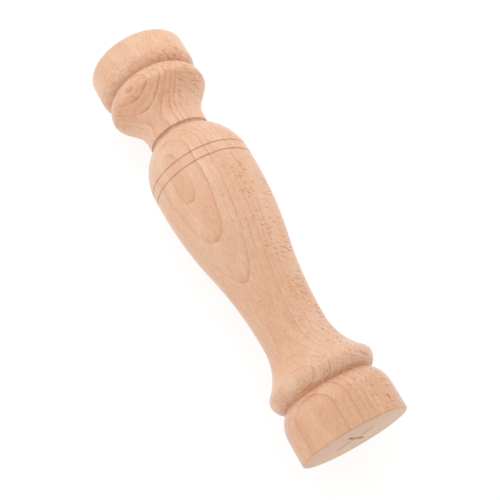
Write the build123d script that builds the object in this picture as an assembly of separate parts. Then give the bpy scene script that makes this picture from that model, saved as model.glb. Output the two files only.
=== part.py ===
from build123d import *
from math import acos, cos, degrees, radians, sin, sqrt
import os

# A carving mallet turned from beech, lying along +X with +Z up. All sizes are in millimetres.
# The origin is the centre of the flat end face. Every radius is measured from the turning axis,
# which is the X axis, and every length runs along it.
# The mallet is turned as one profile, but the body and the knob are two pieces of the same blank.
# A fluted dowel, glued blind into both, holds them face to face at the quirk under the neck.

# The whole mallet, from the flat end face to the top of the knob. The grip takes up what the rest leaves.
mallet_length = 252.0

# The block: the flat-ended disc that the mallet stands on.
block_radius = 30.0
block_wall = 15.2
end_edge = 1.0
block_shoulder = 12.2

# The bead over the block, with the groove between the two and the flare up into the grip.
groove_radius = 24.7
bead_radius = 29.5
bead_rise = 7.2
bead_nose = 4.6
flare_sweep = 33.7

# The waist of the grip, which swells to the bulb in one long S-curve.
waist_radius = 18.3

# The bulb: a level band, then a rounded shoulder down to the quirk at the neck.
bulb_radius = 29.6
bulb_band = 6.1
shoulder_length = 25.4
shoulder_foot = 16.8

# Two lines scored round the bulb.
score_count = 2
score_inset = 1.7
score_spacing = 6.0
score_width = 0.8
score_depth = 0.5

# The neck of the knob, and its cove, which climbs to a rounded lip.
neck_radius = 18.0
quirk_length = 1.4
neck_wall = 5.5
cove_sweep = 18.8
cove_slope = 38.9
lip_radius = 29.1
lip_nose = 4.2
lip_back = 8.6

# The knob itself, with a straight wall and a rounded top edge.
knob_groove_radius = 24.9
knob_rise = 6.4
knob_radius = 29.1
knob_wall = 11.8
knob_edge = 4.2

# The fluted dowel and its two sockets.
dowel_radius = 8.0
dowel_length = 78.0
dowel_chamfer = 1.5
dowel_glue_gap = 0.05
dowel_end_gap = 1.0
flute_count = 16
flute_radius = 0.7
flute_depth = 0.35
socket_countersink = 0.8


# The flare turns through this many degrees, and the cove's slope is climbed for this length.
flare_slope = degrees(acos(1 - (bead_radius - waist_radius) / (flare_sweep + bead_nose)))
cove_turn_rise = (cove_sweep + lip_nose) * (1 - cos(radians(cove_slope)))
climb_length = (lip_radius - neck_radius - cove_turn_rise) / sin(radians(cove_slope))

# Places along the axis from the end face up to the waist.
groove_x = block_wall + block_shoulder
bead_x = groove_x + bead_rise
waist_x = bead_x + (flare_sweep + bead_nose) * sin(radians(flare_slope))

# Places along the axis from the top of the knob down to the bulb.
crest_x = mallet_length - knob_edge - knob_wall
lip_x = crest_x - knob_rise - lip_back
cove_x = lip_x - climb_length * cos(radians(cove_slope)) - (cove_sweep + lip_nose) * sin(radians(cove_slope))
neck_x = cove_x - neck_wall
joint_x = neck_x - quirk_length
shoulder_x = joint_x - shoulder_length
bulb_x = shoulder_x - bulb_band

# The radius of the arc that rounds the bulb's shoulder.
shoulder_drop = bulb_radius - shoulder_foot
shoulder_sweep = (shoulder_length**2 + shoulder_drop**2) / (2 * shoulder_drop)


def turned(outline):
    """A solid of revolution: the outline is closed down to the axis and spun round it."""
    start = outline[0] @ 0
    end = outline[-1] @ 1
    closing = Polyline(end, (end.X, 0), (start.X, 0), start)
    profile = make_face([*outline, closing])
    return revolve(Plane.XZ * profile, Axis.X)


def block_outline():
    """End face edge, straight wall, and the rounded shoulder down into the groove."""
    edge = JernArc((0, block_radius - end_edge), (0, 1), end_edge, -90)
    wall = Line(edge @ 1, (block_wall, block_radius))
    shoulder = TangentArc(wall @ 1, (groove_x, groove_radius), tangent=(1, 0))
    return [edge, wall, shoulder]


def bead_outline():
    """The bead's rise to its crest, its nose, and the flare that leaves it tangent and ends at the waist."""
    crest = (bead_x, bead_radius)
    rise = TangentArc(crest, (groove_x, groove_radius), tangent=(-1, 0))
    nose = JernArc(crest, (1, 0), bead_nose, -flare_slope)
    flare = JernArc(nose @ 1, nose % 1, flare_sweep, flare_slope)
    return [rise, nose, flare]


def grip_outline():
    """Two equal arcs that meet halfway: hollow over the waist, then full towards the bulb."""
    middle = ((waist_x + bulb_x) / 2, (waist_radius + bulb_radius) / 2)
    hollow = TangentArc((waist_x, waist_radius), middle, tangent=(1, 0))
    full = TangentArc((bulb_x, bulb_radius), middle, tangent=(-1, 0))
    return [hollow, full]


def bulb_outline():
    """The level band and the shoulder that falls to the joint."""
    band = Line((bulb_x, bulb_radius), (shoulder_x, bulb_radius))
    shoulder = TangentArc(band @ 1, (joint_x, shoulder_foot), tangent=(1, 0))
    return [band, shoulder]


def bulb_surface(x):
    """The bulb's radius at x: level on the band, then down the shoulder's arc."""
    fall = max(0.0, x - shoulder_x)
    return bulb_radius - shoulder_sweep + sqrt(shoulder_sweep**2 - fall**2)


def score(x):
    """The ring that a pointed tool takes out at x: as wide and as deep at the surface as a scored line."""
    surface = bulb_surface(x)
    outside = surface + score_depth
    point = (x, surface - score_depth)
    ring = Polyline((x - score_width, outside), point, (x + score_width, outside), close=True)
    return revolve(Plane.XZ * make_face(ring), Axis.X)


def socket(mouth_x, inwards):
    """The blind hole for half the dowel, from its mouth at the joint, with a small countersink for glue."""
    radius = dowel_radius + dowel_glue_gap
    depth = dowel_length / 2 + dowel_end_gap
    hole = Rot(0, 90, 0) * Cylinder(radius, depth)
    mouth = Rot(0, inwards * 90, 0) * Cone(radius + socket_countersink, radius, socket_countersink)
    hole = Pos(mouth_x + inwards * depth / 2, 0, 0) * hole
    mouth = Pos(mouth_x + inwards * socket_countersink / 2, 0, 0) * mouth
    return hole + mouth


def mallet_body():
    """Block, bead, grip and bulb in one turning, with its scored lines and its socket."""
    body = turned(block_outline() + bead_outline() + grip_outline() + bulb_outline())
    for number in range(score_count):
        body -= score(bulb_x + score_inset + number * score_spacing)
    return body - socket(joint_x, -1)


def neck_outline():
    """The quirk's chamfer and the neck's straight wall."""
    quirk = Line((joint_x, shoulder_foot), (neck_x, neck_radius))
    wall = Line(quirk @ 1, (cove_x, neck_radius))
    return [quirk, wall]


def cove_outline():
    """A hollow that turns up to the slope, a straight climb, and the nose that levels out at the lip."""
    hollow = JernArc((cove_x, neck_radius), (1, 0), cove_sweep, cove_slope)
    climb = Line(hollow @ 1, hollow @ 1 + (hollow % 1) * climb_length)
    nose = JernArc(climb @ 1, climb % 1, lip_nose, -cove_slope)
    return [hollow, climb, nose]


def knob_outline():
    """The lip's back, the groove, the knob's rise, its wall and its rounded top edge."""
    groove = (lip_x + lip_back, knob_groove_radius)
    crest = (crest_x, knob_radius)
    back = TangentArc((lip_x, lip_radius), groove, tangent=(1, 0))
    rise = TangentArc(crest, groove, tangent=(-1, 0))
    wall = Line(crest, (crest_x + knob_wall, knob_radius))
    edge = JernArc(wall @ 1, (1, 0), knob_edge, -90)
    return [back, rise, wall, edge]


def end_knob():
    """Neck, cove, lip and knob in one turning, with its socket."""
    knob = turned(neck_outline() + cove_outline() + knob_outline())
    return knob - socket(joint_x, 1)


def flute():
    """One groove along the dowel, which lets air and spare glue out of the socket."""
    centre_radius = dowel_radius - flute_depth + flute_radius
    return Pos(0, 0, centre_radius) * (Rot(0, 90, 0) * Cylinder(flute_radius, 2 * dowel_length))


def joint_dowel():
    """A beech pin with chamfered ends and flutes all round, half in each socket."""
    pin = Rot(0, 90, 0) * Cylinder(dowel_radius, dowel_length)
    pin = chamfer(pin.edges().filter_by(GeomType.CIRCLE), dowel_chamfer)
    for number in range(flute_count):
        pin -= Rot(360 * number / flute_count, 0, 0) * flute()
    return Pos(joint_x, 0, 0) * pin


os.makedirs("parts", exist_ok=True)
export_step(mallet_body(), "parts/mallet_body.step")
export_step(end_knob(), "parts/end_knob.step")
export_step(joint_dowel(), "parts/joint_dowel.step")
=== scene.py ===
import math

import bpy
import numpy as np
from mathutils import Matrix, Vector


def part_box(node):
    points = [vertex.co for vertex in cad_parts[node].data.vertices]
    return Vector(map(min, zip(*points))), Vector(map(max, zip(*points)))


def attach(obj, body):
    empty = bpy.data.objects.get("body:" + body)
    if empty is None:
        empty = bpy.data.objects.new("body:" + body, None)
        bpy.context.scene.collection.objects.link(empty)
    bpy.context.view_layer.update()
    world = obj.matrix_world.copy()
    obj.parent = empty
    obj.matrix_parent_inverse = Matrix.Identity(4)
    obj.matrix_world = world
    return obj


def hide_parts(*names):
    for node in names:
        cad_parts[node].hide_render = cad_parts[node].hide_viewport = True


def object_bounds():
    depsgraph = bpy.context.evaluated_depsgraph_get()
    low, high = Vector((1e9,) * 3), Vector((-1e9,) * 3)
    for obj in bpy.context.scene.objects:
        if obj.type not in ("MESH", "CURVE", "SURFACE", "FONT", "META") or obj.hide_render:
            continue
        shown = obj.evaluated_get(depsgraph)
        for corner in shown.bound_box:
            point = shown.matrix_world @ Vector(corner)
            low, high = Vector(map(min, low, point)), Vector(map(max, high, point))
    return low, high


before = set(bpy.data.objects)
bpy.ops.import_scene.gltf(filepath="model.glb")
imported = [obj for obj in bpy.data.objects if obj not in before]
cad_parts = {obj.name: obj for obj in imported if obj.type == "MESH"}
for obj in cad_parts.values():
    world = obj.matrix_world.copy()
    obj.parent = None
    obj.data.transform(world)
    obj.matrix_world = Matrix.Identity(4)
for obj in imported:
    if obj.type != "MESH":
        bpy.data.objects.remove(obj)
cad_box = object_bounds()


# ---------------------------------------------------------------------------------------------
# Mallet body: the striking block, its bead, the waisted grip and the scored bulb, in one piece of
# beech. It is turned between centres with gouge and skew, and sanded bare. Its neck end is bored
# for the dowel that carries the knob.
# ---------------------------------------------------------------------------------------------

body_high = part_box("mallet_body")[1]
joint_x = body_high[0]
block_radius = body_high[2]

# Sizes are in metres: places and lengths along the axis, and radii from it. A nose or a sweep is
# the radius of its own arc.
end_edge = 0.001
block_wall = 0.0152
groove_x = 0.0274
groove_radius = 0.0247
bead_x = 0.0346
bead_radius = 0.0295
bead_nose = 0.0046
flare_sweep = 0.0337
waist_radius = 0.0183
bulb_radius = 0.0296
bulb_band = 0.0061
shoulder_length = 0.0254
shoulder_foot = 0.0168
shoulder_x = joint_x - shoulder_length
bulb_x = shoulder_x - bulb_band
score_inset = 0.0017
score_spacing = 0.0060
score_places = (bulb_x + score_inset, bulb_x + score_inset + score_spacing)
score_half_width = 0.0005
score_depth = 0.00055
socket_radius = 0.00805
socket_depth = 0.040
socket_mouth = 0.00885


def line(start, end, count=9):
    """Points on the straight run from start to end, each a place along the axis and a radius."""
    share = np.linspace(0.0, 1.0, count)[:, None]
    return np.array(start) * (1.0 - share) + np.array(end) * share


def roll(crest, foot, count=48):
    """Points on the circle that lies level at the crest and passes through the foot.

    With a run of dx and a fall of dr, its radius is (dx squared + dr squared) / (2 dr), measured
    towards the axis. It is negative where the foot is higher, which makes the arc a hollow one.
    """
    run = foot[0] - crest[0]
    fall = crest[1] - foot[1]
    radius = (run * run + fall * fall) / (2.0 * fall)
    angle = np.linspace(0.0, np.arctan2(run / radius, 1.0 - fall / radius), count)
    across = crest[0] + radius * np.sin(angle)
    out = crest[1] - radius + radius * np.cos(angle)
    return np.stack([across, out], axis=1)


def chain(*stretches, same_place=1e-7):
    """The stretches end to end, with the points that they share kept once."""
    points = np.concatenate(stretches)
    step = np.linalg.norm(np.diff(points, axis=0), axis=1)
    return points[np.concatenate([[True], step > same_place])]


def sanded(outline, rub=0.0001, steps=3, reach=12):
    """The outline with its sharp corners rubbed down.

    It is walked in even steps, three to the rub, and every point becomes the Gaussian mean of its
    neighbours, with the rub as the standard deviation. The two ends stay where they are.
    """
    length = np.concatenate([[0.0], np.cumsum(np.linalg.norm(np.diff(outline, axis=0), axis=1))])
    walk = np.arange(0.0, length[-1], rub / steps)
    dense = np.stack([np.interp(walk, length, outline[:, i]) for i in (0, 1)], axis=1)
    weight = np.exp(-0.5 * (np.arange(-reach, reach + 1) / steps) ** 2)
    weight /= weight.sum()
    before = 2 * dense[:1] - dense[reach:0:-1]
    after = 2 * dense[-1:] - dense[-2:-reach - 2:-1]
    padded = np.concatenate([before, dense, after])
    soft = np.stack([np.convolve(padded[:, i], weight, "valid") for i in (0, 1)], axis=1)
    soft[0] = outline[0]
    soft[-1] = outline[-1]
    return soft


def spread(outline, fine_until=0.0, fine_run=0.00035, run_limit=0.0013, turn_limit=math.radians(7.0)):
    """The outline with fewer points, set closer where it bends.

    From each point to the next, the run as a share of its limit and the turn as a share of its own
    add up to the same, which is just under one. Up to the given length from the outline's start the
    run's limit is the fine one, which leaves room for a tool mark.
    """
    leap = np.diff(outline, axis=0)
    run = np.linalg.norm(leap, axis=1)
    heading = np.unwrap(np.arctan2(leap[:, 1], leap[:, 0]))
    turn = np.abs(np.diff(heading, prepend=heading[0]))
    allowed = np.where(np.cumsum(run) < fine_until, fine_run, run_limit)
    effort = np.concatenate([[0.0], np.cumsum(run / allowed + turn / turn_limit)])
    stops = np.linspace(0.0, effort[-1], int(effort[-1]) + 2)
    return np.stack([np.interp(stops, effort, outline[:, i]) for i in (0, 1)], axis=1)


def turned(name, outline, mark=None, around=192):
    """A closed surface of revolution round the X axis.

    The point at place x and radius r goes to (x, r sin a, r cos a), for angles a evenly round the
    circle. The outline starts and ends on the axis, and there the whole ring is one point. A tool
    mark, if there is one, moves every point along the axis by its own formula.
    """
    angle = np.linspace(0.0, 2.0 * np.pi, around, endpoint=False)
    ring = outline[1:-1]
    x = np.repeat(ring[:, :1], around, axis=1)
    y = ring[:, 1:] * np.sin(angle)
    z = ring[:, 1:] * np.cos(angle)
    points = np.stack([x, y, z], axis=2).reshape(-1, 3)
    points = np.concatenate([points, [[outline[0, 0], 0, 0], [outline[-1, 0], 0, 0]]])
    if mark is not None:
        points[:, 0] += mark(points)
    rows = np.arange(len(ring) - 1)[:, None] * around
    column = np.arange(around)[None, :]
    after = (column + 1) % around
    quads = np.stack([rows + column, rows + after, rows + around + after, rows + around + column], axis=2)
    last = (len(ring) - 1) * around
    first_pole = len(points) - 2
    start = np.stack([np.full(around, first_pole), after[0], column[0]], axis=1)
    end = np.stack([np.full(around, first_pole + 1), last + column[0], last + after[0]], axis=1)
    faces = quads.reshape(-1, 4).tolist() + start.tolist() + end.tolist()
    mesh = bpy.data.meshes.new(name)
    mesh.from_pydata(points.tolist(), [], faces)
    mesh.shade_smooth()
    piece = bpy.data.objects.new(name, mesh)
    bpy.context.scene.collection.objects.link(piece)
    return piece


def point_attribute(piece, name, values):
    """One number for each point of the piece, for its material to read."""
    layer = piece.data.attributes.new(name, "FLOAT", "POINT")
    layer.data.foreach_set("value", np.asarray(values, np.float32))


def points_of(piece):
    """The piece's points as rows of x, y, z."""
    flat = np.empty(len(piece.data.vertices) * 3)
    piece.data.vertices.foreach_get("co", flat)
    return flat.reshape(-1, 3)


def near(x, place, width):
    """1 at the place and falling off on both sides of it, as a Gaussian of that width."""
    return np.exp(-0.5 * ((x - place) / width) ** 2)


def notch(offset, half_width):
    """1 in the middle of a V-shaped cut, falling evenly to 0 at half its width."""
    return np.clip(1.0 - offset / half_width, 0.0, 1.0)


flare_slope = math.acos(1.0 - (bead_radius - waist_radius) / (flare_sweep + bead_nose))
waist_x = bead_x + (flare_sweep + bead_nose) * math.sin(flare_slope)
nose_end = (
    bead_x + bead_nose * math.sin(flare_slope),
    bead_radius - bead_nose * (1.0 - math.cos(flare_slope)),
)
grip_middle = ((waist_x + bulb_x) / 2.0, (waist_radius + bulb_radius) / 2.0)

body_skin = chain(
    line((0.0, 0.0), (0.0, block_radius - end_edge)),
    roll((end_edge, block_radius), (0.0, block_radius - end_edge))[::-1],
    line((end_edge, block_radius), (block_wall, block_radius)),
    roll((block_wall, block_radius), (groove_x, groove_radius)),
    roll((bead_x, bead_radius), (groove_x, groove_radius))[::-1],
    roll((bead_x, bead_radius), nose_end),
    roll((waist_x, waist_radius), nose_end)[::-1],
    roll((waist_x, waist_radius), grip_middle),
    roll((bulb_x, bulb_radius), grip_middle)[::-1],
    line((bulb_x, bulb_radius), (shoulder_x, bulb_radius)),
    roll((shoulder_x, bulb_radius), (joint_x, shoulder_foot)),
)
body_skin = sanded(body_skin)
for place in score_places:
    body_skin[:, 1] -= score_depth * notch(np.abs(body_skin[:, 0] - place), score_half_width)
body_socket_end = joint_x - socket_depth
body_sink_end = joint_x - socket_mouth + socket_radius
body_outline = chain(
    body_skin,
    line((joint_x, shoulder_foot), (joint_x, socket_mouth)),
    line((joint_x, socket_mouth), (body_sink_end, socket_radius)),
    line((body_sink_end, socket_radius), (body_socket_end, socket_radius)),
    line((body_socket_end, socket_radius), (body_socket_end, 0.0)),
)

# The marks of the lathe's drive centre: four spurs square to each other, and a point.
spur_inner = 0.0028
spur_outer = 0.0115
spur_run_out = 0.0009
spur_half_width = 0.0013
spur_depth = 0.0018
spur_turn = math.radians(28.0)
centre_radius = 0.0022
centre_depth = 0.0042

# The end face is what lies this close to its plane. Its points are fine up to this radius.
face_limit = 1e-5
marked_until = 0.0135


def drive_mark(points):
    """How deep the lathe's drive centre has bitten into the end face at each point, in metres.

    Four spurs stand square round a point. Each leaves a V-shaped slot that runs outwards, whose
    depth falls with the distance from its middle line, and the point leaves a cone.
    """
    y = points[:, 1] * math.cos(spur_turn) - points[:, 2] * math.sin(spur_turn)
    z = points[:, 1] * math.sin(spur_turn) + points[:, 2] * math.cos(spur_turn)
    along = np.maximum(np.abs(y), np.abs(z))
    aside = np.minimum(np.abs(y), np.abs(z))
    slot = notch(aside, spur_half_width)
    slot *= np.clip((spur_outer - along) / spur_run_out, 0.0, 1.0)
    slot *= np.clip((along - spur_inner) / spur_run_out, 0.0, 1.0)
    cone = notch(np.hypot(y, z), centre_radius)
    on_face = points[:, 0] < face_limit
    return on_face * np.maximum(spur_depth * slot, centre_depth * cone)


# The wood is worked out in millimetres. The log's pith lies beside the blank, this far from its
# axis and on this bearing from +Z to +Y.
pith_distance = 125.0
pith_bearing = math.radians(34.5)
pith_y = pith_distance * math.sin(pith_bearing)
pith_z = pith_distance * math.cos(pith_bearing)

# Growth rings, from the pith side outwards: how far each line lies from the blank's axis towards
# the pith, in millimetres, and how strongly it shows. A dry summer leaves a weak line.
ring_levels = (
    (33.5, 0.4), (29.95, 0.0), (25.55, 1.0), (22.7, 0.2), (20.5, 1.0), (17.4, 0.6), (14.3, 0.7),
    (11.9, 0.4), (8.9, 0.7), (7.3, 0.4), (5.0, 0.5), (2.8, 0.4), (0.8, 0.5), (-2.2, 0.5),
    (-5.0, 0.4), (-7.4, 0.7), (-10.3, 0.5), (-12.6, 0.3), (-15.4, 0.8), (-18.1, 0.5), (-20.5, 0.4),
    (-23.2, 0.7), (-25.6, 0.5), (-28.9, 0.8), (-31.6, 0.5), (-35.0, 0.5),
)
ring_span = (-36.0, 36.0)

# A ring's dark line comes up late in the season and ends sharply with it.
line_start = (0.83, 0.95)
line_end = (1.0, 0.985)

# A drought left a false ring inside the widest year. Its line fades this far from its level, and
# comes up along this stretch of the mallet, past the block. The wood blushes on the line's pith
# side, and the last pair is where that comes up.
false_ring_level = 29.0
false_line_fade = (0.17, 0.04)
false_line_stretch = (30.0, 60.0)
false_year_start = (-0.1, 0.2)

# The next five tables run along the mallet, in millimetres from the end face, and their span ends a
# little past the top of the knob.
mallet_span = (0.0, 260.0)

# How far the trunk's lean moves the ring surfaces, in millimetres.
lean_places = (
    (0, 1.15), (25, 1.1), (40, 0.75), (90, 0.0), (130, -0.05), (143, 0.05), (148, -0.22), (154, 0.0),
    (162, 0.1), (170, -0.06), (183, -1.0), (194, -0.6), (216, 0.35), (221.5, 0.11), (230, 0.2), (252, 0.35),
)
# How clearly the rings show.
showing_places = (
    (0, 1.1), (26, 1.3), (34, 0.62), (46, 0.72), (62, 0.6), (86, 0.75), (112, 1.0), (150, 1.0), (166, 1.0),
    (174, 0.95), (181, 1.1), (188, 1.35), (200, 1.5), (208, 2.3), (214, 2.2), (219, 1.7), (226, 0.6),
    (244, 0.35), (252, 0.5), (260, 0.5),
)
# How pale the wood is, from 0 to 1. Part of this is painted light and shade: paler towards the knob end and
# on the slopes that face it, lighter beside the grooves, and darker in the cove.
tone_and_light_places = (
    (0, 0.14), (15, 0.16), (22, 0.26), (26, 0.48), (29, 0.44), (33, 0.58), (42, 0.51), (52, 0.38),
    (66, 0.32), (100, 0.37), (160, 0.43), (175, 0.55), (187, 0.88), (192, 1.0), (194.5, 0.66), (198, 0.45),
    (206, 0.50), (214, 0.20), (222, 0.36), (226, 0.45), (228.5, 0.9), (231, 0.38), (238, 0.42), (252, 0.6),
)
# How thickly the flecks crowd, against their mean.
crowding_places = (
    (0, 0.06), (14, 0.10), (23, 0.18), (33, 0.26), (38, 0.20), (42, 0.0), (50, 0.10), (62, 0.18),
    (78, 0.12), (96, 0.04), (120, 0.06), (150, 0.0), (165, -0.12), (177, 0.06), (186, 0.20), (193, 0.14),
    (197, 0.0), (207, 0.04), (218, 0.22), (224, 0.36), (231, 0.46), (238, 0.16), (246, -0.1), (252, -0.1),
)
# How strongly the leaning blades show.
stroke_places = (
    (0, 0.85), (22, 0.75), (34, 0.9), (60, 1.0), (145, 1.0), (158, 0.7), (166, 0.42), (190, 0.42),
    (206, 0.8), (218, 0.95), (226, 0.7), (233, 0.55), (241, 0.32), (252, 0.28),
)

# How close each kind of unevenness is set, in cells to the millimetre along X, Y and Z.
sway_cells = (0.03, 0.09, 0.09)
ragged_cells = (0.22, 0.45, 0.45)
broken_cells = (0.06, 0.2, 0.2)
wobble_cells = (0.30, 0.18, 0.18)
crowd_cells = (0.060, 0.085, 0.085)
vessel_cells = (0.32, 2.2, 2.2)
fibre_cells = (0.10, 1.1, 1.1)
mottle_cells = (0.35, 0.6, 0.6)
tone_cells = (0.03, 0.11, 0.11)

# How close the rays' blades stand, in cells to the millimetre along the mallet, away from the
# pith, and round it.
fine_blades = (0.52, 0.16, 2.5)
broad_blades = (0.36, 0.15, 1.75)
leaning_blades = (0.37, 0.10, 1.75)
end_blades = (1.0, 0.11, 2.2)
silver_blades = (0.70, 0.14, 1.2)

# How far the grain sways along X, Y and Z, and how far the blades wobble along the mallet, away from
# the pith and round it, in millimetres from one side to the other.
sway_reach = (0.0, 1.1, 1.1)
blade_wobble = (1.2, 0.0, 0.9)
leaning_wobble = (0.8, 0.0, 0.5)

# A blade slants along the mallet as it runs out from the pith. The winding fibre turns a leaning
# one round the pith, both along the mallet and outwards. All are millimetres to the millimetre.
blade_slant = 0.28
turn_along = 0.36
turn_outwards = 0.20

# Each blade has a number from 0 to 1 of its own. What crowds the blades is added to it, some of it
# at these weights, and a blade comes up as the sum crosses its range. A higher range leaves fewer.
fine_crowding = 1.4
broad_crowding = 1.7
leaning_crowding = 2.2
broad_on_sides = 0.50
fine_range = (0.90, 1.30)
broad_range = (1.92, 2.24)
leaning_range = (1.54, 1.76)
end_range = (0.35, 0.85)
silver_range = (0.72, 0.90)

# The share of colour that each mark takes. For the rings, it is the share where they show at 1.
latewood_share = 0.27
blush_share = 0.74
false_line_blush = 0.5
false_year_blush = 0.30
broad_share = 0.55
vessel_share = 0.20

# How uneven the wood's brightness and its tone are.
fibre_contrast = 0.055
mottle_contrast = 0.035
tone_contrast = 0.22

# Sanded wood is this rough, broad rays take a little off it, and end grain adds to it.
wood_roughness = 0.36
ray_gloss = 0.10
end_roughness = 0.15

# The depth of the surface's bumps, in metres, and the shares of it by which fibre stands up and
# vessels and flecks lie deep.
bump_depth = 0.00003
fibre_height = 0.5
vessel_pit = 0.8
fleck_pit = 0.5

# The scar where a fibre tore out: its place, how far it is turned in the surface, and how quickly
# it fades along the mallet and across it. It comes up from the first of two distances to the next.
scar_place = (7.0, -20.0, 22.4)
scar_turn = -0.40
scar_fade = (0.50, 1.25, 1.25)
scar_range = (1.15, 0.5)


def feed(tree, socket, value):
    """Links the socket to another one, or sets it to a plain value."""
    if isinstance(value, bpy.types.NodeSocket):
        tree.links.new(value, socket)
    else:
        socket.default_value = value


def wired(tree, kind, *feeds, out=0, **settings):
    """A node with its settings made and its inputs fed by order or by name, as one of its outputs.

    A setting with a capital names an input, and any other names a property. The output is the first
    one unless another is named, and with None all of them come back.
    """
    node = tree.nodes.new("ShaderNode" + kind)
    for name, value in settings.items():
        if not name[0].isupper():
            setattr(node, name, value)
    for number, value in enumerate(feeds):
        feed(tree, node.inputs[number], value)
    for name, value in settings.items():
        if name[0].isupper():
            feed(tree, node.inputs[name], value)
    return node.outputs if out is None else node.outputs[out]


def maths(tree, operation, first, *others):
    """The operation on one value, or on several taken in order."""
    if not others:
        return wired(tree, "Math", first, operation=operation)
    for other in others:
        first = wired(tree, "Math", first, other, operation=operation)
    return first


def times(tree, *values):
    """The product of the values."""
    return maths(tree, "MULTIPLY", *values)


def plus(tree, *values):
    """The values added up."""
    return maths(tree, "ADD", *values)


def larger(tree, *values):
    """The largest of the values."""
    return maths(tree, "MAXIMUM", *values)


def stretched(tree, vector, factors):
    """The vector with each of its parts multiplied."""
    return wired(tree, "VectorMath", vector, factors, operation="MULTIPLY")


def length_of(tree, vector):
    """How long the vector is."""
    return wired(tree, "VectorMath", vector, operation="LENGTH", out="Value")


def rise(tree, value, low, high, bottom=0.0, top=1.0):
    """A smooth step from the bottom to the top as the value goes from low to high."""
    return wired(tree, "MapRange", value, low, high, bottom, top, interpolation_type="SMOOTHSTEP")


def swing(tree, value, middle, reach):
    """Noise evened out, so that it runs from the reach below the middle to the reach above it."""
    return rise(tree, value, 0.25, 0.75, middle - reach, middle + reach)


def noise(tree, vector, cells, detail, out=0):
    """Soft noise, with this many cells to the millimetre."""
    return wired(tree, "TexNoise", Vector=stretched(tree, vector, cells), Scale=1.0, Detail=detail, out=out)


def drift(tree, vector, cells, detail):
    """A vector that changes softly from place to place, and whose mean is nothing."""
    colour = noise(tree, vector, cells, detail, out="Color")
    return wired(tree, "VectorMath", colour, (0.5, 0.5, 0.5), operation="SUBTRACT")


def slivers(tree, vector, cells, rim, core, channel="Red"):
    """Slivers of one size, and a number from 0 to 1 that tells one from the next.

    Space is cut into cells round scattered points. A sliver is full up to the core's distance from
    its point, and gone at the rim's.
    """
    scattered = wired(tree, "TexVoronoi", Vector=stretched(tree, vector, cells), Scale=1.0, out=None)
    pick = wired(tree, "SeparateColor", scattered["Color"], out=channel)
    return rise(tree, scattered["Distance"], rim, core), pick


def tint(tree, share, first, second):
    """The first colour, with a share of the second mixed in."""
    node = tree.nodes.new("ShaderNodeMix")
    node.data_type = "RGBA"
    feed(tree, node.inputs[0], share)
    feed(tree, node.inputs[6], first)
    feed(tree, node.inputs[7], second)
    return node.outputs[2]


def curve(tree, value, points, span, reach, smooth=False):
    """A curve through the points, over a span of the value, for answers within the reach."""
    share = wired(tree, "MapRange", value, *span)
    node = tree.nodes.new("ShaderNodeFloatCurve")
    tree.links.new(share, node.inputs["Value"])
    shape = node.mapping.curves[0]
    width = span[1] - span[0]
    height = reach[1] - reach[0]
    scaled = sorted(((across - span[0]) / width, (up - reach[0]) / height) for across, up in points)
    while len(shape.points) < len(scaled):
        shape.points.new(0.5, 0.5)
    for spot, location in zip(shape.points, scaled):
        spot.location = location
        spot.handle_type = "AUTO" if smooth else "VECTOR"
    node.mapping.update()
    return wired(tree, "MapRange", node.outputs[0], 0.0, 1.0, *reach, clamp=False)


def along_mallet(tree, along, places, low, high):
    """A smooth curve through a table that runs along the mallet, for answers from low to high."""
    return curve(tree, along, places, mallet_span, (low, high), smooth=True)


def growth_rings(tree, place, wood, along, distance):
    """How deep in the rings each place lies, and how strongly their lines and their blush show.

    The depth is how far the place lies towards the pith, less the trunk's lean, and a little ragged.
    A curve through the ring levels counts the years, and what is over from a whole year is the
    season. The line is the end of the season, and the blush before it grows with its square.
    """
    lean = along_mallet(tree, along, lean_places, -2.0, 2.0)
    ragged = noise(tree, place, ragged_cells, 2.0)
    depth = maths(tree, "SUBTRACT", pith_distance, distance, lean)
    depth = plus(tree, depth, rise(tree, ragged, 0.2, 0.8, bottom=-0.16, top=0.16))
    years = [(level, number) for number, (level, _) in enumerate(ring_levels)]
    year = curve(tree, depth, years, ring_span, (0.0, float(len(ring_levels))))
    strength = curve(tree, depth, ring_levels, ring_span, (0.0, 1.5))
    season = maths(tree, "FRACT", year)
    edge = times(tree, rise(tree, season, *line_start), rise(tree, season, *line_end), strength)
    past_false_ring = maths(tree, "SUBTRACT", depth, false_ring_level)
    miss = maths(tree, "ABSOLUTE", past_false_ring)
    false_line = times(tree, rise(tree, miss, *false_line_fade), rise(tree, along, *false_line_stretch))
    false_year = rise(tree, past_false_ring, *false_year_start, top=false_year_blush)
    # The rings are dull on one side of the pith's bearing and clear on the other, and break up
    # here and there.
    sideways = (0.0, -math.cos(pith_bearing), math.sin(pith_bearing))
    off_axis = wired(tree, "VectorMath", place, sideways, operation="DOT_PRODUCT", out="Value")
    broken = noise(tree, wood, broken_cells, 3.0)
    showing = times(
        tree,
        along_mallet(tree, along, showing_places, 0.0, 3.0),
        rise(tree, broken, 0.32, 0.62, bottom=0.35, top=1.15),
        rise(tree, off_axis, -8.0, 1.0, bottom=0.45),
    )
    line_mask = times(tree, larger(tree, edge, false_line), latewood_share, showing)
    blush = times(tree, maths(tree, "POWER", season, 2.0), strength, blush_share)
    blush = larger(tree, blush, times(tree, false_line, false_line_blush), false_year)
    return depth, line_mask, times(tree, blush, showing)


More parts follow.
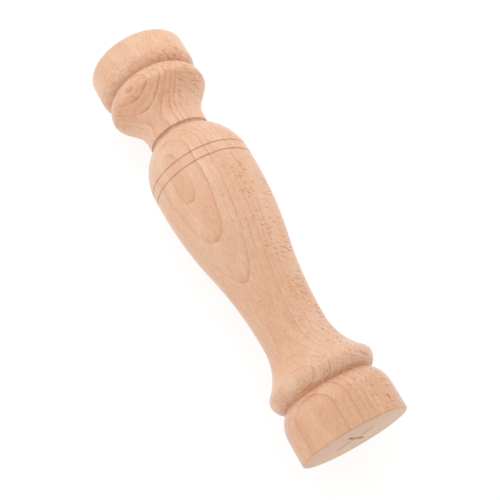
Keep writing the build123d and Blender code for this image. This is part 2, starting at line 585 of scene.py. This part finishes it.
def ray_flecks(tree, place, wood, along, from_pith, distance, end_grain):
    """How strongly the fine, the broad and the silver flecks of the rays show.

    Rays are thin blades that stand along the radius, a few wide ones among many fine ones. They lie
    flat in the surface only where the turning is cut along the radius, and show largest there. That
    cut is told by how far aside of the pith's bearing a place lies, as a share of its own radius.
    """
    parts = wired(tree, "SeparateXYZ", from_pith, out=None)
    bearing = maths(tree, "ARCTAN2", times(tree, parts["Y"], -1.0), times(tree, parts["Z"], -1.0))
    across = times(tree, bearing, pith_distance)
    off_bearing = maths(tree, "ABSOLUTE", maths(tree, "SUBTRACT", across, pith_distance * pith_bearing))
    aside = maths(tree, "DIVIDE", off_bearing, length_of(tree, stretched(tree, place, (0.0, 1.0, 1.0))))
    quarter_cut = rise(tree, aside, 0.68, 0.88)
    crowd = noise(tree, place, crowd_cells, 1.0)
    crowding = along_mallet(tree, along, crowding_places, -1.0, 1.0)
    wobble = drift(tree, wood, wobble_cells, 1.0)
    slant = plus(tree, along, times(tree, distance, blade_slant))
    blade = wired(tree, "CombineXYZ", slant, distance, across)
    blade = wired(tree, "VectorMath", wobble, blade_wobble, blade, operation="MULTIPLY_ADD")

    # The fine rays are also darker where they crowd.
    fine, pick = slivers(tree, blade, fine_blades, rim=0.50, core=0.10)
    pick = plus(tree, pick, times(tree, crowding, fine_crowding), crowd)
    fine = times(
        tree,
        fine,
        rise(tree, pick, *fine_range),
        rise(tree, crowding, 0.0, 0.45, bottom=1.0, top=2.1),
        rise(tree, aside, 0.3, 0.8, bottom=0.36, top=0.42),
    )
    # The broad ones crowd on the sides, but fade where the leaning ones take over.
    broad, pick = slivers(tree, blade, broad_blades, rim=0.50, core=0.22)
    on_sides = times(tree, rise(tree, aside, 0.20, 0.65), broad_on_sides)
    pick = plus(tree, pick, times(tree, crowd, broad_crowding), on_sides, crowding)
    fading = rise(tree, quarter_cut, 1.0, 0.3, bottom=0.25, top=0.52)
    broad = times(tree, broad, rise(tree, pick, *broad_range), fading)
    # The fibre winds round the trunk, so some blades lean. Where the cut nears the radius they come
    # out as strokes that start steep and turn to lie across the grain.
    leaning = plus(tree, across, times(tree, along, turn_along), times(tree, distance, turn_outwards))
    leaf = wired(tree, "CombineXYZ", along, distance, leaning)
    leaf = wired(tree, "VectorMath", wobble, leaning_wobble, leaf, operation="MULTIPLY_ADD")
    stroke, pick = slivers(tree, leaf, leaning_blades, rim=0.50, core=0.20)
    pick = plus(tree, pick, times(tree, crowd, leaning_crowding), crowding)
    stroke = times(
        tree,
        stroke,
        rise(tree, pick, *leaning_range),
        rise(tree, aside, 0.76, 0.97, top=1.30),
        along_mallet(tree, along, stroke_places, 0.0, 1.5),
    )
    lengthwise = times(tree, larger(tree, broad, stroke), maths(tree, "SUBTRACT", 1.0, end_grain))
    # Cut across, all the rays are fine lines that run out from the pith.
    end_blade = wired(tree, "CombineXYZ", 0.0, distance, across)
    end_ray, pick = slivers(tree, end_blade, end_blades, rim=0.50, core=0.15)
    crosswise = times(tree, end_ray, rise(tree, pick, *end_range, top=0.45), end_grain)
    # Here and there a ray catches the light and looks silver.
    silver, pick = slivers(tree, blade, silver_blades, rim=0.42, core=0.18, channel="Green")
    silver_share = plus(tree, times(tree, quarter_cut, 0.26), 0.10)
    silver = times(tree, silver, rise(tree, pick, *silver_range), silver_share)
    return fine, plus(tree, crosswise, lengthwise), silver


def torn_scar(tree, place):
    """A short dark streak, strongest at the scar's place, turned about the line out from the axis."""
    outwards = (0.0, scar_place[1], scar_place[2])
    turned_place = wired(tree, "VectorRotate", place, scar_place, outwards, scar_turn)
    offset = wired(tree, "VectorMath", turned_place, scar_place, operation="SUBTRACT")
    return rise(tree, length_of(tree, stretched(tree, offset, scar_fade)), *scar_range)


def beech_figure():
    """A node group that gives the figure of plain-sawn beech, worked out in millimetres.

    The log's pith lies beside the blank and runs along X, so the distance from it counts the growth
    rings, and the bearing round it follows the rays. The tree's ring surfaces come out as loops and
    arches wherever the turning cuts them.
    """
    tree = bpy.data.node_groups.new("beech figure", "ShaderNodeTree")
    for name in ("Deep Wood", "Pale Wood", "Latewood", "Blush", "Fleck", "Silver Fleck", "End Wood"):
        tree.interface.new_socket(name, in_out="INPUT", socket_type="NodeSocketColor")
    tree.interface.new_socket("End Grain", in_out="INPUT", socket_type="NodeSocketFloat")
    tree.interface.new_socket("Colour", in_out="OUTPUT", socket_type="NodeSocketColor")
    tree.interface.new_socket("Roughness", in_out="OUTPUT", socket_type="NodeSocketFloat")
    tree.interface.new_socket("Height", in_out="OUTPUT", socket_type="NodeSocketFloat")
    asked = tree.nodes.new("NodeGroupInput").outputs
    given = tree.nodes.new("NodeGroupOutput").inputs

    # The grain sways a little from side to side: place is where a point lies in the mallet, and wood
    # is where it would lie in a log with straight grain.
    metres = wired(tree, "TexCoord", out="Object")
    place = wired(tree, "VectorMath", metres, operation="SCALE", Scale=1000.0)
    sway = stretched(tree, drift(tree, place, sway_cells, 3.0), sway_reach)
    wood = wired(tree, "VectorMath", place, sway, operation="ADD")
    along = wired(tree, "SeparateXYZ", place, out="X")
    from_pith = wired(tree, "VectorMath", wood, (0.0, -pith_y, -pith_z), operation="ADD")
    from_pith = stretched(tree, from_pith, (0.0, 1.0, 1.0))
    distance = length_of(tree, from_pith)
    depth, line_mask, blush = growth_rings(tree, place, wood, along, distance)
    fine, broad, silver = ray_flecks(tree, place, wood, along, from_pith, distance, asked["End Grain"])

    # Vessels: fine open tubes along the grain, cut lengthwise into whiskers, with fibre between them.
    whisker, pick = slivers(tree, wood, vessel_cells, rim=0.36, core=0.12)
    whisker = times(tree, whisker, rise(tree, pick, 0.5, 1.0))
    fibre = noise(tree, wood, fibre_cells, 4.0)
    mottle = noise(tree, wood, mottle_cells, 2.0)
    tone_and_light = swing(tree, noise(tree, wood, tone_cells, 2.0), 0.0, tone_contrast)
    # The table along the mallet adds painted light and shade to the wood's uneven tone.
    tone_and_light = plus(tree, tone_and_light, along_mallet(tree, along, tone_and_light_places, 0.0, 1.0))

    colour = tint(tree, tone_and_light, asked["Deep Wood"], asked["Pale Wood"])
    # Cut across, the wood that grew last is the palest.
    pale_end = times(tree, asked["End Grain"], rise(tree, depth, 12.0, -16.0, bottom=0.15))
    colour = tint(tree, pale_end, colour, asked["End Wood"])
    shade = times(tree, swing(tree, fibre, 1.0, fibre_contrast), swing(tree, mottle, 1.0, mottle_contrast))
    colour = wired(tree, "VectorMath", colour, operation="SCALE", Scale=shade)
    colour = tint(tree, blush, colour, asked["Blush"])
    colour = tint(tree, line_mask, colour, asked["Latewood"])
    colour = tint(tree, silver, colour, asked["Silver Fleck"])
    broad_mark = times(tree, broad, broad_share)
    vessel_mark = times(tree, whisker, vessel_share)
    fleck = larger(tree, fine, broad_mark, vessel_mark, torn_scar(tree, place))
    colour = tint(tree, fleck, colour, asked["Fleck"])
    tree.links.new(colour, given["Colour"])

    rough = maths(tree, "SUBTRACT", wood_roughness, times(tree, broad, ray_gloss))
    rough = plus(tree, rough, times(tree, asked["End Grain"], end_roughness))
    tree.links.new(rough, given["Roughness"])
    pits = plus(tree, times(tree, whisker, vessel_pit), times(tree, fleck, fleck_pit))
    height = maths(tree, "SUBTRACT", times(tree, fibre, fibre_height), pits)
    tree.links.new(height, given["Height"])
    return tree


def beech(name, colours):
    """A beech material in these colours, its figure and its shader. Their colours aren't joined yet."""
    material = bpy.data.materials.new(name)
    material.use_nodes = True
    tree = material.node_tree
    shader = tree.nodes["Principled BSDF"]
    figure = tree.nodes.new("ShaderNodeGroup")
    figure.node_tree = figure_group
    for part, colour in colours.items():
        figure.inputs[part].default_value = colour
    tree.links.new(figure.outputs["Roughness"], shader.inputs["Roughness"])
    bump = wired(tree, "Bump", Height=figure.outputs["Height"], Distance=bump_depth, Strength=0.6)
    tree.links.new(bump, shader.inputs["Normal"])
    return material, figure, shader


def turned_beech():
    """Bare beech, sanded: the figure, painted shade in the cut lines, grooves and drive mark, and a dull
    surface.
    """
    material, figure, shader = beech("turned_beech", {
        "Deep Wood": (0.773, 0.421, 0.2415, 1.0),
        "Pale Wood": (0.838, 0.571, 0.405, 1.0),
        "Latewood": (0.52, 0.205, 0.105, 1.0),
        "Blush": (0.70, 0.32, 0.185, 1.0),
        "Fleck": (0.50, 0.170, 0.065, 1.0),
        "Silver Fleck": (0.93, 0.66, 0.49, 1.0),
        "End Wood": (0.852, 0.580, 0.366, 1.0),
    })
    # This dark brown is painted shade, mixed in where the grooves, the scored lines, the quirk and the
    # drive mark's cuts lie.
    painted_shade_colour = (0.27, 0.055, 0.008, 1.0)
    tree = material.node_tree
    end = wired(tree, "Attribute", attribute_name="end_grain", out="Fac")
    tree.links.new(end, figure.inputs["End Grain"])
    painted_shade = wired(tree, "Attribute", attribute_name="painted_shade", out="Fac")
    colour = tint(tree, painted_shade, figure.outputs["Colour"], painted_shade_colour)
    tree.links.new(colour, shader.inputs["Base Color"])
    shader.inputs["Specular IOR Level"].default_value = 0.5
    shader.inputs["Sheen Weight"].default_value = 0.35
    shader.inputs["Sheen Roughness"].default_value = 0.3
    return material


figure_group = beech_figure()
turned_beech_material = turned_beech()

# Painted shade in the groove and the scored lines: how strong it is, from 0 to 1, how far it lies past the
# groove's bottom, and how wide it is. There is none within this radius, where the socket is.
groove_shade = 0.16
groove_shade_offset = 0.0010
groove_shade_width = 0.0006
score_shade_width = 0.00035
clean_radius = 0.012

# The drive mark's painted shade is the mark's depth as a share of this one, up to a limit.
mark_shade_depth = 0.0013
mark_shade_limit = 0.70

# End grain shows in a thin skin of the end face, and deeper where the drive mark is.
end_skin = 0.0006
mark_floor = 0.005
mark_radius = 0.014

body = turned("beech_body", spread(body_outline, fine_until=marked_until), mark=drive_mark)
body_points = points_of(body)
body_x = body_points[:, 0]
body_r = np.hypot(body_points[:, 1], body_points[:, 2])
# This darkening is painted shade in the groove and the scored lines.
body_painted_shade = groove_shade * near(body_x, groove_x + groove_shade_offset, groove_shade_width)
for place in score_places:
    body_painted_shade += groove_shade * near(body_x, place, score_shade_width)
body_painted_shade *= body_r > clean_radius
by_face = body_x < mark_floor
flattened = np.where(by_face[:, None], body_points * (0, 1, 1), 1.0)
# Painted shade in the drive mark's cuts: the deeper the cut, the darker.
mark_painted_shade = np.clip(drive_mark(flattened) / mark_shade_depth, 0.0, mark_shade_limit)
body_painted_shade = np.maximum(body_painted_shade, by_face * mark_painted_shade)
point_attribute(body, "painted_shade", np.clip(body_painted_shade, 0.0, 1.0))
point_attribute(body, "end_grain", ((body_x < end_skin) | (by_face & (body_r < mark_radius))).astype(float))
body.data.materials.append(turned_beech_material)
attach(body, "root")
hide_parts("mallet_body")


# ---------------------------------------------------------------------------------------------
# End knob: neck, cove, lip and rounded knob, turned from the same length of beech, so its rings
# and rays run on from the body's. It is bored like the body, and glued to it on the dowel.
# ---------------------------------------------------------------------------------------------

top_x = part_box("end_knob")[1][0]
neck_radius = 0.018
quirk_length = 0.0014
cove_sweep = 0.0188
cove_slope = math.radians(38.9)
lip_radius = 0.0291
lip_nose = 0.0042
lip_back = 0.0086
knob_groove_radius = 0.0249
knob_rise = 0.0064
knob_radius = 0.0291
knob_wall = 0.0118
knob_edge = 0.0042

crest_x = top_x - knob_edge - knob_wall
lip_x = crest_x - knob_rise - lip_back
cove_turn_rise = (cove_sweep + lip_nose) * (1.0 - math.cos(cove_slope))
climb = (lip_radius - neck_radius - cove_turn_rise) / math.sin(cove_slope)
cove_x = lip_x - climb * math.cos(cove_slope) - (cove_sweep + lip_nose) * math.sin(cove_slope)
cove_end = (
    cove_x + cove_sweep * math.sin(cove_slope),
    neck_radius + cove_sweep * (1.0 - math.cos(cove_slope)),
)
lip_start = (
    lip_x - lip_nose * math.sin(cove_slope),
    lip_radius - lip_nose * (1.0 - math.cos(cove_slope)),
)
knob_groove_x = lip_x + lip_back

knob_skin = chain(
    line((joint_x, shoulder_foot), (joint_x + quirk_length, neck_radius)),
    line((joint_x + quirk_length, neck_radius), (cove_x, neck_radius)),
    roll((cove_x, neck_radius), cove_end),
    line(cove_end, lip_start),
    roll((lip_x, lip_radius), lip_start)[::-1],
    roll((lip_x, lip_radius), (knob_groove_x, knob_groove_radius)),
    roll((crest_x, knob_radius), (knob_groove_x, knob_groove_radius))[::-1],
    line((crest_x, knob_radius), (crest_x + knob_wall, knob_radius)),
    roll((crest_x + knob_wall, knob_radius), (top_x, knob_radius - knob_edge)),
    line((top_x, knob_radius - knob_edge), (top_x, 0.0)),
)
knob_socket_end = joint_x + socket_depth
knob_sink_end = joint_x + socket_mouth - socket_radius
knob_outline = chain(
    line((knob_socket_end, 0.0), (knob_socket_end, socket_radius)),
    line((knob_socket_end, socket_radius), (knob_sink_end, socket_radius)),
    line((knob_sink_end, socket_radius), (joint_x, socket_mouth)),
    line((joint_x, socket_mouth), (joint_x, shoulder_foot)),
    sanded(knob_skin),
)

# Painted shade in the quirk and in the knob's groove, given as the body's is.
quirk_shade = 0.60
quirk_shade_offset = 0.0012
quirk_shade_width = 0.0004
knob_groove_shade = 0.12
knob_groove_shade_offset = 0.0007

# End grain starts to show this far below the top face, and shows fully after this length.
top_grain_start = 0.0036
top_grain_fade = 0.0034

knob = turned("beech_knob", spread(knob_outline))
knob_points = points_of(knob)
knob_x = knob_points[:, 0]
knob_r = np.hypot(knob_points[:, 1], knob_points[:, 2])
# This darkening is painted shade in the quirk at the joint and in the knob's groove.
knob_painted_shade = quirk_shade * near(knob_x, joint_x + quirk_shade_offset, quirk_shade_width)
knob_painted_shade += knob_groove_shade * near(knob_x, knob_groove_x + knob_groove_shade_offset, groove_shade_width)
point_attribute(knob, "painted_shade", np.clip(knob_painted_shade * (knob_r > clean_radius), 0.0, 1.0))
point_attribute(knob, "end_grain", np.clip((knob_x - top_x + top_grain_start) / top_grain_fade, 0.0, 1.0))
knob.data.materials.append(turned_beech_material)
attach(knob, "root")
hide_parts("end_knob")


# ---------------------------------------------------------------------------------------------
# Joint dowel: a bought length of fluted beech rod, chamfered at both ends. It is glued half into
# the body and half into the knob, and nothing of it shows once the joint is closed.
# ---------------------------------------------------------------------------------------------

def dowel_beech():
    """Straight-grained beech from another tree, paler and drier than the turning."""
    material, figure, shader = beech("dowel_beech", {
        "Deep Wood": (0.72, 0.46, 0.29, 1.0),
        "Pale Wood": (0.78, 0.52, 0.34, 1.0),
        "Latewood": (0.50, 0.24, 0.12, 1.0),
        "Blush": (0.80, 0.40, 0.26, 1.0),
        "Fleck": (0.45, 0.25, 0.14, 1.0),
        "Silver Fleck": (0.90, 0.62, 0.45, 1.0),
        "End Wood": (0.62, 0.42, 0.28, 1.0),
    })
    material.node_tree.links.new(figure.outputs["Colour"], shader.inputs["Base Color"])
    shader.inputs["Specular IOR Level"].default_value = 0.3
    return material


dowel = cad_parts["joint_dowel"]
dowel.data.materials.clear()
dowel.data.materials.append(dowel_beech())


# ---------------------------------------------------------------------------------------------
# Bench and studio: a white board under the mallet, which lies on its side, white walls all round,
# and four soft panels of light about it.
# ---------------------------------------------------------------------------------------------

floor_height = cad_box[0][2]
floor_reach = 4.0
floor_corners = [
    (-floor_reach, -floor_reach, floor_height),
    (floor_reach, -floor_reach, floor_height),
    (floor_reach, floor_reach, floor_height),
    (-floor_reach, floor_reach, floor_height),
]
floor_mesh = bpy.data.meshes.new("bench_board")
floor_mesh.from_pydata(floor_corners, [], [(0, 1, 2, 3)])
bench_board = bpy.data.objects.new("bench_board", floor_mesh)
bpy.context.scene.collection.objects.link(bench_board)

# The board that the camera sees is this glow plus a dull grey, so it looks white and still takes a
# shadow. The walls light the mallet at a lower level than they are seen at.
board_level = 0.82
board_grey = (0.25, 0.25, 0.25, 1.0)
wall_light = 0.72
white = (1.0, 1.0, 1.0, 1.0)

board = bpy.data.materials.new("white_board")
board.use_nodes = True
board_tree = board.node_tree
board_shader = board_tree.nodes["Principled BSDF"]
board_shader.inputs["Base Color"].default_value = (0.95, 0.95, 0.95, 1.0)
board_shader.inputs["Roughness"].default_value = 0.9
board_shader.inputs["Specular IOR Level"].default_value = 0.0
board_rays = wired(board_tree, "LightPath", out=None)
board_seen = wired(board_tree, "BsdfDiffuse", board_grey)
board_glow = wired(board_tree, "Emission", white, board_level)
board_seen = wired(board_tree, "AddShader", board_seen, board_glow)
board_straight = maths(board_tree, "MAXIMUM", board_rays["Is Camera Ray"], board_rays["Is Glossy Ray"])
board_mix = wired(board_tree, "MixShader", board_straight, board_shader.outputs[0], board_seen)
board_tree.links.new(board_mix, board_tree.nodes["Material Output"].inputs["Surface"])
floor_mesh.materials.append(board)

studio = bpy.data.worlds.new("white_studio")
bpy.context.scene.world = studio
studio.use_nodes = True
studio_tree = studio.node_tree
studio_rays = wired(studio_tree, "LightPath", out=None)
studio_straight = maths(studio_tree, "MAXIMUM", studio_rays["Is Camera Ray"], studio_rays["Is Glossy Ray"])
studio_level = wired(studio_tree, "MapRange", studio_straight, 0.0, 1.0, wall_light, 1.0)
studio_tree.links.new(studio_level, studio_tree.nodes["Background"].inputs["Strength"])
studio_tree.nodes["Background"].inputs["Color"].default_value = white


def soft_lamp(name, place, target, width, power):
    """A square panel of light at a place, facing the target."""
    lamp = bpy.data.lights.new(name, "AREA")
    lamp.size = width
    lamp.energy = power
    panel = bpy.data.objects.new(name, lamp)
    panel.location = place
    panel.rotation_euler = (Vector(target) - Vector(place)).to_track_quat("-Z", "Y").to_euler()
    bpy.context.scene.collection.objects.link(panel)


# All four panels face this spot. Places and widths are in metres, and power is in watts.
lamp_target = (0.15, 0.0, 0.0)
soft_lamp("high_panel", (0.38, -0.02, 0.40), lamp_target, width=0.30, power=0.46)
soft_lamp("left_panel", (0.25, 0.50, 0.15), lamp_target, width=0.60, power=0.70)
soft_lamp("right_panel", (0.25, -0.50, 0.15), lamp_target, width=0.60, power=0.50)
soft_lamp("far_panel", (0.62, -0.40, 0.30), lamp_target, width=0.45, power=0.46)


# ---------------------------------------------------------------------------------------------
# Camera: half a metre up and a little beyond the end face, looking along the mallet through a
# longish lens, so that the end face just shows at the near end.
# ---------------------------------------------------------------------------------------------

eye_place = Vector((-0.068742, 0.096789, 0.489442))
look_place = Vector((0.114677, -0.001947, 0.0))
lens = bpy.data.cameras.new("camera")
lens.sensor_width = 36.0
lens.lens = 71.18
camera = bpy.data.objects.new("camera", lens)
camera.location = eye_place
camera.rotation_euler = (look_place - eye_place).to_track_quat("-Z", "Y").to_euler()
bpy.context.scene.collection.objects.link(camera)
bpy.context.scene.camera = camera
bpy.context.scene.view_settings.view_transform = "Standard"
